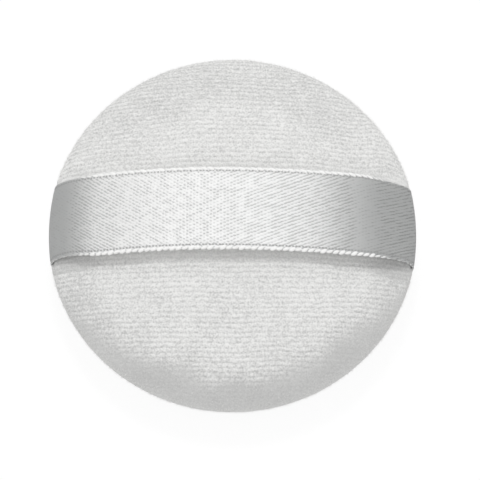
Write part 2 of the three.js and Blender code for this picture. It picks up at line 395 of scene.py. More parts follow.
# %% Rows of loops
ROW = 1.18  # mm from row to row
ROW_BEND = 0.35  # rows by which a row bends
BEND_LENGTH = 9  # mm over which it does
LOOSE_BEND = 1.4  # rows by which it bends more in the rear right
LOOSE_CORNER = (20, 50)  # mm to the right and the rear together, between which that sets in
ROW_SHAKE = 0.25  # rows by which it wavers
SHAKE_LENGTH = 1.3  # mm over which it does
RIDGE_POWER = 0.8  # below 1, the rows are broader than the furrows between them
TUFT = 0.7  # mm along a row
TUFT_SHIFT = 7.3  # tufts by which the next row is shifted
TUFT_LOW = 0.5  # height of the lowest tufts
WORN_PATCH = 5  # mm across
WORN_LOW = 0.65  # height that is left in the most worn patches
FIBRE_END = 0.45  # mm across
FIBRE_RELIEF = 0.4
MIDDLE_HEIGHT = 0.3
EVEN_REAR = 0.14  # share by which the loops are more even in the rear
REAR = (5, 20)  # mm behind the middle, between which that sets in


def cloth_coordinates(points, profile, side):
    """Where each point lay on the flat disc, in millimetres, and its distance from the middle there."""
    along = np.concatenate([[0], np.cumsum(np.linalg.norm(np.diff(profile, axis=0), axis=1))]) / MM
    out = np.hypot(points[:, 0], points[:, 1])
    turn = turn_at(out, side * (points[:, 2] - SEAM_Z), profile)
    reach = np.interp(turn, turn_at(profile[:, 0], profile[:, 1], profile), along)
    scale = reach / np.maximum(out, LEAST)
    return points[:, 0] * scale, points[:, 1] * scale, reach


def loop_heights(u, v):
    """How high the loops stand, where 1 is a full loop."""
    bend = ROW_BEND + LOOSE_BEND * smooth_step(*LOOSE_CORNER, u + v)
    row = v / ROW + bend * uneven(u, v, BEND_LENGTH, 1) + ROW_SHAKE * uneven(u, v, SHAKE_LENGTH, 2)
    number = np.floor(row)
    ridge = np.sin(math.pi * (row - number)) ** RIDGE_POWER
    tuft = TUFT_LOW + (1 - TUFT_LOW) * speckle(u / TUFT + TUFT_SHIFT * number, number, 3)
    worn = WORN_LOW + (1 - WORN_LOW) * speckle(u / WORN_PATCH, v / WORN_PATCH, 4)
    height = ridge * tuft * worn + FIBRE_RELIEF * uneven(u, v, FIBRE_END, 5)
    return MIDDLE_HEIGHT + (height - MIDDLE_HEIGHT) * (1 - EVEN_REAR * smooth_step(*REAR, v))


# %% [markdown]
# Handling wears the pile. Its loops lie flat round the rim, in a broader band along the front edge, under
# the ribbon and in front of the ribbon's ends. Shade is painted into the cloth's colour too: painted shade
# darkens the shoulder, most of all at the front, and a painted shadow lies in front of the ribbon's ends.
# Under the ribbon, and close beside it, the colour is painted lighter, as light reaching into its shadow.

# %% Where the pile is worn, and where shade is painted
BAND_TURN = math.radians(3)  # by which the smooth band at the front is turned to the right
FRONT = (0.12, 0.9)  # shares of the way that go forward, between which a place comes to be at the front
REAR_RIM = (0.05, 0.85)  # the same for the rear
FACE_FRONT = 0.3  # how much of the front's wear the face has
RAGGED = 3  # mm by which the worn places have a ragged edge
RAGGED_LENGTH = 5  # mm over which they do
SHOULDER = (33, 41)  # mm over the cloth from its middle, between which the painted shade sets in
SHOULDER_FRONT = (2.5, 1.5)  # mm by which that comes sooner at the front
SHOULDER_REAR = 8  # mm by which it comes sooner at the rear
# painted shade over the shoulder, as a share of the cloth's brightness
SHOULDER_SHADE = 0.62
SHOULDER_SHADE_FRONT = 0.42  # how much darker the painted shade is at the front
FRONT_EDGE = (41, 46)  # mm from the middle, between which the front turns bright again
FRONT_EDGE_KEPT = 0.85
REAR_SIDES = ((0, 0.35), (0.75, 1))  # shares between which the sides behind the ribbon begin and end
REAR_SIDES_KEPT = 0.6
RIM = (44, 48.5)  # mm from the middle, between which the loops come to lie flat
RIM_FRONT = (9.2, 7.8)  # mm by which that comes sooner at the front
RIM_FLAT = 0.85
RIBBON_FLAT = 0.6
FLAT_BESIDE = (-1, 3)  # mm beside the ribbon, between which the loops rise again
# painted light under and beside the ribbon, against its shadow
PAINTED_FILL = 0.85
PAINTED_FILL_BESIDE = (-0.5, 2.5)  # mm beside the ribbon, between which the painted light ends
STRIP_WIDTH = {-1: 3.3, 1: 4.4}  # mm of painted shadow in front of the ribbon's left and right end
STRIP_SHADOW = {-1: 1.0, 1: 1.15}
STRIP_WIDENS = (18, 44)  # mm from the middle, between which the strip grows to that width
STRIP_BEGINS = (26, 37)  # mm from the middle, between which it shows
STRIP_RAGGED = 0.8  # mm by which its edge is ragged
STRIP_LENGTH = 2  # mm over which it is
STRIP_EDGE = (0.8, 1.2)  # shares of its width between which it ends
STRIP_SOFT = 0.01  # mm of softness that its edge always has
STRIP_UNDER = 2  # mm that it reaches under the ribbon


def by_ribbon_end(u, v):
    """1 in front of the ribbon's ends, where the loops lie flat and a shadow is painted."""
    ahead = (ribbon_middle(u * MM) - half_width(u * MM)) / MM - v
    width = left_right(STRIP_WIDTH, u) * smooth_step(*STRIP_WIDENS, np.abs(u))
    width = width + STRIP_RAGGED * uneven(u, v, STRIP_LENGTH, 8)
    ended = smooth_step(STRIP_EDGE[0] * width, STRIP_EDGE[1] * width + STRIP_SOFT, ahead)
    inside = smooth_step(-STRIP_UNDER, 0, ahead) * (1 - ended)
    return inside * smooth_step(*STRIP_BEGINS, np.abs(u))


def pile_and_painted_shading(u, v, reach, side):
    """How high the loops still stand, and how bright the cloth is left by the painted shade and light."""
    forward = u * math.sin(BAND_TURN) - v * math.cos(BAND_TURN)
    front = smooth_step(*FRONT, forward / np.maximum(reach, LEAST))
    if side < 0:
        front = FACE_FRONT * front
    rearward = v / np.maximum(reach, LEAST)
    behind = smooth_step(*REAR_RIM, rearward)
    ragged = reach + RAGGED * uneven(u, v, RAGGED_LENGTH, 6)
    shoulder = smooth_step(
        SHOULDER[0] - SHOULDER_FRONT[0] * front - SHOULDER_REAR * behind,
        SHOULDER[1] - SHOULDER_FRONT[1] * front - SHOULDER_REAR * behind,
        ragged,
    )
    kept = FRONT_EDGE_KEPT * front * smooth_step(*FRONT_EDGE, reach)
    # painted shade over the shoulder, darkest at the front
    painted_shading = (SHOULDER_SHADE + SHOULDER_SHADE_FRONT * front) * shoulder * (1 - kept)
    rear_sides = smooth_step(*REAR_SIDES[0], rearward) * (1 - smooth_step(*REAR_SIDES[1], behind))
    painted_shading *= 1 - REAR_SIDES_KEPT * rear_sides
    flat = RIM_FLAT * smooth_step(RIM[0] - RIM_FRONT[0] * front, RIM[1] - RIM_FRONT[1] * front, ragged)
    if side > 0:
        beside = np.abs(v - RIBBON_Y / MM) - RIBBON_WIDTH / 2 / MM
        flat = np.maximum(flat, RIBBON_FLAT * (1 - smooth_step(*FLAT_BESIDE, beside)))
        # painted light under and close beside the ribbon, where its shadow falls
        painted_shading = painted_shading - PAINTED_FILL * (1 - smooth_step(*PAINTED_FILL_BESIDE, beside))
        strip = by_ribbon_end(u, v)
        flat = np.maximum(flat, RIBBON_FLAT * strip)
        # painted shadow in front of the ribbon's ends
        painted_shading += (left_right(STRIP_SHADOW, u) - painted_shading) * strip
    return 1 - flat, 1 - painted_shading


# %% [markdown]
# The ribbon is tight where it comes over the rim, and the pad gives way to it. A collision in the
# simulation would need a far finer cloth, so every point that lies too far out is drawn back towards the
# seam's middle until it is clear of the ribbon. The cloth beside the ribbon follows a little, the pad is
# lower in front of the ribbon's ends, and the seam is open where those ends go in.

# %% Give way to the ribbon
PRESS_GAP = 0.55 * MM  # from the middle of the ribbon to the cloth that it presses on
PRESS_REACH = 2.3 * MM  # how far beside the ribbon the pad is drawn down with it on the crown
PRESS_SOFT = 0.25 * MM  # the same at the seam
PRESS_INSET = 0.65 * MM  # how far inside the ribbon's edge the cloth starts to come up at the seam
PRESS_OUTSET = 0.95 * MM  # how much further out it does on the crown
PRESS_CROWN = (0.5 * MM, 4 * MM)  # over the seam, between which the crown begins
HOLLOW = {-1: 0.9 * MM, 1: 1.4 * MM}  # how much lower the pad is before the ribbon's left and right end
HOLLOW_REACH = 9 * MM
HOLLOW_ALONG = (14 * MM, 30 * MM)  # from the middle, between which the hollow begins
HOLLOW_UP = (MM, 5 * MM)  # over the seam, between which it begins
TAIL_ROOM = 0.1 * MM  # between the ribbon's ends and the cloth over and under them
TAIL_EDGE = (-0.75 * MM, -0.4 * MM)  # beside the ribbon's ends, between which the seam closes again


def give_way(points, side):
    """Press the cloth clear of the ribbon, and open the seam round the ribbon's ends."""
    x = points[:, 0]
    up = side * (points[:, 2] - SEAM_Z)
    ahead = ribbon_middle(x) - points[:, 1] - half_width(x)
    beside = np.maximum(ahead, -ahead - 2 * half_width(x))
    if side > 0:
        hollow = left_right(HOLLOW, x) * smooth_step(*HOLLOW_ALONG, np.abs(x))
        hollow *= smooth_step(-RIBBON_WIDTH, 0, ahead) * (1 - smooth_step(0, HOLLOW_REACH, ahead))
        up = up - hollow * smooth_step(*HOLLOW_UP, up)
        on_crown = smooth_step(*PRESS_CROWN, up)
        start = PRESS_OUTSET * on_crown - PRESS_INSET
        end = start + PRESS_SOFT + PRESS_REACH * on_crown
        arch = line[2:-2]
        across = x / drawn_in(points[:, 1])
        limit = np.interp(
            np.arctan2(across, up), np.arctan2(arch[:, 0], arch[:, 1]), np.hypot(arch[:, 0], arch[:, 1])
        )
        kept = np.minimum(1, (limit - PRESS_GAP) / np.hypot(across, up))
        kept = 1 - (1 - smooth_step(start, end, beside)) * (1 - kept)
        x, up = x * kept, up * kept
    opened = np.maximum(up, RIBBON_THICKNESS / 2 + TAIL_ROOM)
    by_end = (1 - smooth_step(*TAIL_EDGE, beside)) * (np.abs(x) > TAIL_END)
    up = up + (opened - up) * by_end
    return np.stack([x, points[:, 1], SEAM_Z + side * up], axis=1)


# %% [markdown]
# The loops are under a millimetre, so the mesh is subdivided until five vertices cross a row, and every
# vertex is pushed out by the height of the loop that it lies on. The ribbon also draws the pad in a
# little along its length. The height of the loops, how upright they stand and the brightness of the
# painted shade and light are kept as attributes of the mesh, for the finish.

# %% Raise the pile
SUBDIVISIONS = 2
SEAM_HALF = 0.15 * MM  # half of the gap between the two covers
PAD_DRAWN = 0.995  # share of its length along the ribbon that the pad keeps


def raise_pile(cover, profile, side):
    apply_modifier(cover, "SUBSURF", levels=SUBDIVISIONS, render_levels=SUBDIVISIONS)
    use_alone(cover)
    bpy.ops.object.mode_set(mode="EDIT")
    bpy.ops.mesh.select_all(action="SELECT")
    bpy.ops.mesh.bisect(
        plane_co=(0, 0, SEAM_Z + side * SEAM_HALF), plane_no=(0, 0, side), clear_inner=True
    )
    bpy.ops.object.mode_set(mode="OBJECT")
    points = places(cover)
    by_seam = 1 - smooth_step(2 * ROLL, 5 * ROLL, side * (points[:, 2] - SEAM_Z))
    points += (trued_up(points, profile, side) - points) * by_seam[:, None]
    u, v, reach = cloth_coordinates(points, profile, side)
    standing, painted_brightness = pile_and_painted_shading(u, v, reach, side)
    loops = np.clip(loop_heights(u, v), 0, 1) * standing
    points += outward(cover) * (LOOP * loops)[:, None]
    points[:, 0] *= PAD_DRAWN
    points = give_way(points, side)
    points[:, 2] = np.maximum(points[:, 2], 0)
    move_to(cover, points)
    for name, values in (("loop", loops), ("standing", standing), ("painted_brightness", painted_brightness)):
        kept = cover.data.attributes.new(name, "FLOAT", "POINT")
        kept.data.foreach_set("value", values.astype(np.float32))
    print(f"{cover.name}: {len(cover.data.polygons)} faces, loops {loops.mean():.2f} high on average")


raise_pile(back, BACK_PROFILE, 1)
raise_pile(face, FACE_PROFILE, -1)

# %% [markdown]
# Loose fibre ends stand off the pile and soften the puff's outline. Hair particles would be no mesh until
# they are converted, so one fibre is modelled as a thin spike, an Array modifier repeats it on the spot,
# and each copy is then set on a point of the cloth, leaning its own way. They stand closest on the rim,
# where the bent cloth opens its pile. None grow along the ribbon or where the puff rests.

# %% Loose fibres
FIBRES = 14000  # on each cover
RIM_SHARE = 4  # how many times closer the fibres stand on the rim
RIM_FACING = (0.3, 0.6)  # upward shares of the way that the cloth faces, between which the rim ends
FIBRE_RADIUS = 0.03 * MM
FIBRE_LENGTH = (0.35 * MM, 0.85 * MM)
FIBRE_ROOTED = 0.1  # share of its length that is inside the pile
FIBRE_LEAN = 0.5
FIBRE_CLEAR = MM  # from the ribbon and from the ground


def unit(vectors):
    return vectors / np.linalg.norm(vectors, axis=1)[:, None]


def loose_fibres(name, cover, seed):
    chance = np.random.default_rng(seed)
    points, facing = places(cover), outward(cover)
    free = np.abs(points[:, 1] - ribbon_middle(points[:, 0])) > RIBBON_WIDTH / 2 + FIBRE_CLEAR
    free &= points[:, 2] > FIBRE_CLEAR
    on_rim = 1 - smooth_step(*RIM_FACING, np.abs(facing[:, 2]))
    weight = free * (1 + (RIM_SHARE - 1) * on_rim)
    roots = chance.choice(len(points), FIBRES, replace=False, p=weight / weight.sum())
    along = unit(facing[roots] + FIBRE_LEAN * chance.normal(size=(FIBRES, 3)))
    across = unit(np.cross(along, chance.normal(size=(FIBRES, 3))))
    axes = np.stack([across * FIBRE_RADIUS, np.cross(along, across) * FIBRE_RADIUS, along], axis=1)
    axes[:, 2] *= chance.uniform(*FIBRE_LENGTH, FIBRES)[:, None]
    bpy.ops.object.select_all(action="DESELECT")
    bpy.ops.mesh.primitive_cone_add(vertices=3, radius1=1, depth=1, location=(0, 0, 0.5 - FIBRE_ROOTED))
    bpy.ops.object.transform_apply(location=True)
    fibre = newest(name)
    apply_modifier(fibre, "ARRAY", count=FIBRES, use_relative_offset=False)
    spikes = places(fibre).reshape(FIBRES, -1, 3)
    move_to(fibre, (points[roots][:, None] + spikes @ axes).reshape(-1, 3))
    print(f"{name}: {FIBRES} fibres, {len(fibre.data.polygons)} faces")
    return fibre


fuzz = [loose_fibres("back_cover_fibres", back, 11), loose_fibres("face_cover_fibres", face, 12)]

# %% [markdown]
# The cover ends at the seam as an open edge. On the puff that edge is turned in, and the cloth has an
# inner side too, so the open loop is extruded inwards ring by ring: along the turned-in edge, up over its
# raw end, and back under the crown to the middle. That leaves a closed shell as thick as the cloth.

# %% Turned-in edges and inner sides
CLOTH = 1.4 * MM
TURNED_IN = 6 * MM
INNER_RINGS = 6
LAST_RING = 0.5 * MM  # radius of the ring that is drawn together in the middle


def turn_in(cover, profile, side):
    points = places(cover)
    on_edge = np.abs(points[:, 2] - SEAM_Z) < 2 * SEAM_HALF
    edge_radius = np.hypot(points[:, 0], points[:, 1])[on_edge].mean()
    inner = profile[0, 1] - CLOTH
    outer = PAD_RADIUS - 2 * CLOTH
    path = [(edge_radius, 0), (outer - TURNED_IN, 0), (outer - TURNED_IN, 2 * ROLL)]
    for step in range(INNER_RINGS):
        angle = math.pi / 2 * (1 - step / INNER_RINGS)
        path.append((outer * math.sin(angle), 2 * ROLL + (inner - 2 * ROLL) * math.cos(angle)))
    path.append((LAST_RING, inner))
    use_alone(cover)
    bpy.ops.object.mode_set(mode="EDIT")
    bpy.ops.mesh.select_mode(type="EDGE")
    bpy.ops.mesh.select_all(action="DESELECT")
    bpy.ops.mesh.select_non_manifold(extend=False)
    extrude_rings(path, side)
    bpy.ops.mesh.merge(type="CENTER")
    bpy.ops.mesh.select_all(action="SELECT")
    bpy.ops.mesh.normals_make_consistent(inside=False)
    bpy.ops.object.mode_set(mode="OBJECT")
    bpy.ops.object.shade_smooth()
    print(f"{cover.name} closed, {len(cover.data.polygons)} faces")


turn_in(back, BACK_PROFILE, 1)
turn_in(face, FACE_PROFILE, -1)

# %% [markdown]
# The ribbon is one strip of satin. Straps are modelled directly: a flat grid of the ribbon's cut size is
# laid along its line, so its own UV map still measures the cloth, and only the gathered ends lose a
# little of their width. Just inside each edge the stitches of the edge cord pull a shallow groove. The
# thickness comes last.

# %% Lay the ribbon
TAPE = RIBBON_WIDTH - SELVEDGE  # the ribbon's width less its corded edges
ALONG_STEPS = 420
ACROSS_STEPS = 80
SLOPE_STEP = 0.4 * MM  # to both sides of a point, over which the line's slope is taken
GROOVE_INSET = 0.65 * MM
GROOVE_DEPTH = 0.12 * MM
GROOVE_HALF = 0.3 * MM
SMOOTH_ANGLE = math.radians(40)


def on_line(along):
    """The x and the height over the seam at that length along the ribbon's line."""
    return np.interp(along, line_length, line[:, 0]), np.interp(along, line_length, line[:, 1])


def laid(along, across, lift):
    """The place on the puff of a point on the flat ribbon, lifted off its middle by lift."""
    x, up = on_line(along)
    x_before, up_before = on_line(along - SLOPE_STEP)
    x_after, up_after = on_line(along + SLOPE_STEP)
    dx, dz = x_after - x_before, up_after - up_before
    size = np.maximum(np.hypot(dx, dz), LEAST)
    y = ribbon_middle(x) + across * (1 - GATHER * gathered(x))
    return np.stack([x * drawn_in(y) - dz / size * lift, y, SEAM_Z + up + dx / size * lift], axis=1)


bpy.ops.object.select_all(action="DESELECT")
bpy.ops.mesh.primitive_grid_add(x_subdivisions=ALONG_STEPS, y_subdivisions=ACROSS_STEPS, size=1)
ribbon = newest("finger_ribbon")
grid = places(ribbon)
inset = (0.5 - np.abs(grid[:, 1])) * TAPE
groove = GROOVE_DEPTH * (1 - smooth_step(0, GROOVE_HALF, np.abs(inset - GROOVE_INSET)))
move_to(ribbon, laid((grid[:, 0] + 0.5) * RIBBON_LENGTH, grid[:, 1] * TAPE, -groove))
apply_modifier(ribbon, "SOLIDIFY", thickness=RIBBON_THICKNESS, offset=0)
use_alone(ribbon)
bpy.ops.object.shade_smooth_by_angle(angle=SMOOTH_ANGLE)
print(f"ribbon of {len(ribbon.data.polygons)} faces, crown {places(ribbon)[:, 2].max() / MM:.1f} mm up")

# %% [markdown]
# Both edges of the ribbon are corded: a thick edge thread is wound with loops that look like slanted
# grains of rice. One grain is a small sphere, stretched and turned, and its copies sit along the edge,
# each one overlapping the last and following the ribbon's slope. Towards the ribbon's ends they get
# thinner.

# %% Corded edges
GRAIN_PITCH = 1.46 * MM
GRAIN_SEGMENTS = 10
GRAIN_RINGS = 8
GRAIN_VARIES = 0.2  # share by which the grains differ in width
GRAIN_TURN = 2.4  # radians of that change from one grain to the next
CORD_INSET = 0.1 * MM  # from the satin's edge in to the middle of the grains
CORD_THINS = (29 * MM, 39 * MM)  # from the middle, between which the grains get thinner
CORD_LOSS = 0.5  # share of their thickness that they lose there


def corded_edge(name, side, length, width, slant):
    """A row of grains along one edge of the ribbon, as one mesh."""
    count = int(RIBBON_LENGTH / GRAIN_PITCH)
    bpy.ops.object.select_all(action="DESELECT")
    bpy.ops.mesh.primitive_uv_sphere_add(segments=GRAIN_SEGMENTS, ring_count=GRAIN_RINGS, radius=0.5)
    grain = bpy.context.object
    bpy.ops.object.mode_set(mode="EDIT")
    bpy.ops.transform.rotate(value=math.pi / 2, orient_axis="Y", center_override=(0, 0, 0))
    bpy.ops.transform.resize(value=(length, width, SELVEDGE))
    bpy.ops.transform.rotate(value=side * slant, orient_axis="Z", center_override=(0, 0, 0))
    bpy.ops.object.mode_set(mode="OBJECT")
    for number in range(1, count):
        copy = grain.copy()
        copy.data = grain.data.copy()
        bpy.context.collection.objects.link(copy)
        copy.location.x = number * GRAIN_PITCH
        copy.scale.y = 1 + GRAIN_VARIES * math.sin(GRAIN_TURN * number)
        copy.select_set(True)
    bpy.context.view_layer.objects.active = grain
    bpy.ops.object.join()
    cord = newest(name)
    row = places(cord)
    start = (RIBBON_LENGTH - (count - 1) * GRAIN_PITCH) / 2
    edge = side * (TAPE / 2 - CORD_INSET)
    along = np.clip(row[:, 0] + start, 0, RIBBON_LENGTH)
    thin = 1 - CORD_LOSS * smooth_step(*CORD_THINS, np.abs(on_line(along)[0]))
    move_to(cord, laid(along, edge + row[:, 1] * thin, row[:, 2] * thin))
    bpy.ops.object.shade_smooth()
    print(f"{name}: {count} grains")
    return cord


front_edge = corded_edge("ribbon_edge_front", -1, 1.7 * MM, 0.85 * MM, math.radians(22))
rear_edge = corded_edge("ribbon_edge_rear", 1, 1.9 * MM, 0.75 * MM, math.radians(14))

# %% [markdown]
# Finishes are node trees, and the maths in them is easier to read as Python. This small class holds one
# socket: adding or multiplying two of them adds a Math node, and its node method adds any other.

# %% Shader maths as expressions
class Wire:
    """One output socket of a material's node tree."""

    def __init__(self, tree, socket):
        self.tree = tree
        self.socket = socket

    def node(self, kind, settings=None, inputs=None, output=0):
        made = self.tree.nodes.new(kind)
        for name, value in (settings or {}).items():
            setattr(made, name, value)
        for name, value in (inputs or {}).items():
            if isinstance(value, Wire):
                self.tree.links.new(value.socket, made.inputs[name])
            else:
                made.inputs[name].default_value = value
        return Wire(self.tree, made.outputs[output])

    def math(self, operation, *values):
        return self.node("ShaderNodeMath", {"operation": operation}, dict(enumerate(values)))

    def __add__(self, other):
        return self.math("ADD", self, other)

    def __sub__(self, other):
        return self.math("SUBTRACT", self, other)

    def __rsub__(self, other):
        return self.math("SUBTRACT", other, self)

    def __mul__(self, other):
        return self.math("MULTIPLY", self, other)

    def sine(self):
        return self.math("SINE", self)

    def between(self, low, high):
        """0 below low, 1 above high, and smooth between them."""
        return self.node(
            "ShaderNodeMapRange",
            {"interpolation_type": "SMOOTHSTEP"},
            {"Value": self, "From Min": low, "From Max": high},
        )

    def mix(self, low, high):
        """The colour low where this is 0, and high where it is 1."""
        return self.node(
            "ShaderNodeMix",
            {"data_type": "RGBA"},
            {"Factor": self, 6: low, 7: high},
            output=2,
        )


def finish(name, shader_values, space="Object"):
    """A material, its Principled shader and a wire with the coordinates to build on."""
    material = bpy.data.materials.new(name)
    material.use_nodes = True
    tree = material.node_tree
    shader = tree.nodes["Principled BSDF"]
    for socket, value in shader_values.items():
        shader.inputs[socket].default_value = value
    return material, shader, Wire(tree, tree.nodes.new("ShaderNodeTexCoord").outputs[space])


def kept_number(place, name):
    """A number that the mesh keeps for each vertex."""
    return place.node("ShaderNodeAttribute", {"attribute_name": name}, output=2)


def noise(place, size, detail=2.0, stretch=(1, 1, 1)):
    """Noise with blobs of about that size in metres, drawn out along an axis by stretch."""
    mapped = place.node("ShaderNodeMapping", None, {"Vector": place, "Scale": [s / size for s in stretch]})
    return place.node("ShaderNodeTexNoise", None, {"Vector": mapped, "Scale": 1.0, "Detail": detail})


def bump(height, strength, distance):
    values = {"Height": height, "Strength": strength, "Distance": distance}
    return height.node("ShaderNodeBump", None, values)


def link(wire, shader, socket):
    wire.tree.links.new(wire.socket, shader.inputs[socket])


def dress(material, *pieces):
    for piece in pieces:
        piece.data.materials.clear()
        piece.data.materials.append(material)
    print(material.name, "on", ", ".join(piece.name for piece in pieces))


# %% [markdown]
# The velour is white cotton and matte. Light gets caught between its loops, so their roots are a little
# darker than their tops, the fibre ends give it a fine grain, and handling leaves faint cloudy patches.
# Shade is painted into it over the shoulder and in front of the ribbon's ends, and light under the ribbon's
# edge. The loose fibres are of the same cotton, without the shade of the roots.

# %% Velour
# the darker colour also carries the painted shade between the loops and over the shoulder
VELOUR_ROOT = (0.545, 0.545, 0.54, 1)
VELOUR_TOP = (0.88, 0.879, 0.868, 1)
GRAIN_SIZE = 0.42 * MM
GRAIN_FLAT = 0.25  # share of the grain that is left where the loops lie flat
CLOUD_SIZE = 9 * MM
LOOP_SHADE = 0.7
GRAIN_SHADE = 1.8
CLOUD_SHADE = 0.3
PAINTED_SHADING_SHARE = 0.32
BASE_SHADE = 0.09
FIBRE_LOW = (0.78, 0.779, 0.77, 1)
FIBRE_HIGH = (0.95, 0.949, 0.94, 1)


def velour():
    material, shader, place = finish("velour", {"Roughness": 0.95, "Specular IOR Level": 0.15})
    upright = kept_number(place, "standing") * (1 - GRAIN_FLAT) + GRAIN_FLAT
    grain = (noise(place, GRAIN_SIZE, 1.0) - 0.5) * upright
    cloud = noise(place, CLOUD_SIZE) - 0.5
    bright = kept_number(place, "loop") * LOOP_SHADE + grain * GRAIN_SHADE + cloud * CLOUD_SHADE
    # painted shade and painted light, kept on the mesh
    bright = bright + kept_number(place, "painted_brightness") * PAINTED_SHADING_SHARE + BASE_SHADE
    link(bright.mix(VELOUR_ROOT, VELOUR_TOP), shader, "Base Color")
    link(bump(grain, 0.8, 0.2 * MM), shader, "Normal")
    return material


def loose_fibre():
    material, shader, place = finish("loose_fibre", {"Roughness": 0.9, "Specular IOR Level": 0.2})
    link(noise(place, 2 * MM).mix(FIBRE_LOW, FIBRE_HIGH), shader, "Base Color")
    return material


dress(loose_fibre(), *fuzz)
dress(velour(), back, face)

# %% [markdown]
# The satin's warp floats over several weft threads, and the points where it dips line up in diagonals
# both ways. Their glints are painted into the colour as light and dark, with more falling diagonals on
# the left and more rising ones on the right; noise breaks them up into uneven patches, and a short plain
# stretch lies before the right end. Its sheen comes from a strong, broad specular level and from sheen
# painted into the colour, brighter on the left, and a translucent share lets light through the thin cloth.
# Both ends turn away from the light, and their colour is painted greyer as shade. The stitches of the
# edge cord show as a dotted line, painted dark as the shade in the open weave beside the cord.

# %% Satin
# from the darkest painted dip of the weave to its brightest painted glint and sheen
SATIN_LOW = (0.42, 0.423, 0.421, 1)
SATIN_HIGH = (1.0, 1.0, 0.995, 1)
END_SHADE_LOW = (0.1, 0.105, 0.103, 1)
END_SHADE_HIGH = (0.375, 0.385, 0.38, 1)
STITCH_SHADE = (0.2, 0.2, 0.2, 1)
LIT_THROUGH = (0.9, 0.9, 0.9, 1)
SEEN_THROUGH = 0.36
CUT = (RIBBON_LENGTH, TAPE, 1)  # what the UV map's sides measure
FLOAT_ROW = 0.82  # mm across the ribbon from one row of floats to the next
FALLING_STEP = 1.28  # mm along the ribbon between falling diagonals
RISING_STEP = 1.98  # mm along the ribbon between rising diagonals
FALLING_LEFT = 0.95
FALLING_LOSS = 0.7  # how much weaker they are on the right
RISING_LEFT = 0.42
RISING_GAIN = 0.53  # how much stronger they are on the right
WOBBLE_SIZE = 1.4 * MM
WOBBLE = 3.4  # radians by which the diagonals waver
LOOSE_SIZE = 0.9 * MM
LOOSE = 9  # radians by which the rising ones waver on the left
PATCH_SIZE = 1.2 * MM
PATCH_DRAWN = 0.6  # below 1, the patches are longer along the ribbon than across
PATCH_EDGE = (0.36, 0.64)
PATCH_LEAST = 0.6
PATCH_GAIN = 0.9
FLECK_SIZE = 0.5 * MM
CONTRAST = 1.15
RIGHT_SIDE = (0.3, 0.6)  # shares of the ribbon's length between which the rising diagonals take over
PLAIN_BEGINS = (0.735, 0.755)
PLAIN_ENDS = (0.785, 0.81)
PLAIN_LOSS = 0.85
LEFT_END_SHADE = (0.145, 0.235)
RIGHT_END_SHADE = (0.63, 0.8)
# strength along the ribbon of the weave's painted glints
WEAVE_LEFT = 0.45
WEAVE_STEPS = ((0.16, 0.185, 1.25), (0.22, 0.3, -0.75), (0.55, 0.65, 0.4), (0.785, 0.81, -0.35))
# sheen painted into the colour, brighter on the left
PAINTED_SHEEN_LEFT = 1.35
PAINTED_SHEEN_STEPS = ((0.3, 0.5, -0.25), (0.6, 0.66, 0.15))
STITCH_STEP = 0.77  # mm between the stitches of the edge cord
STITCH_BEGINS = (0.55, 0.65)  # mm from the front edge
STITCH_ENDS = (0.95, 1.1)
STITCH_REAR = 0.3  # mm by which the stitches are nearer to the rear edge
STITCH_GAP = (-0.5, 0.4)
STITCH_LEAST = 0.1
STITCH_GAIN = 0.85


def stepped(way, level, steps):
    """A level that changes by each step's third number between its first and second along the way."""
    for low, high, change in steps:
        level = way.between(low, high) * change + level
    return level


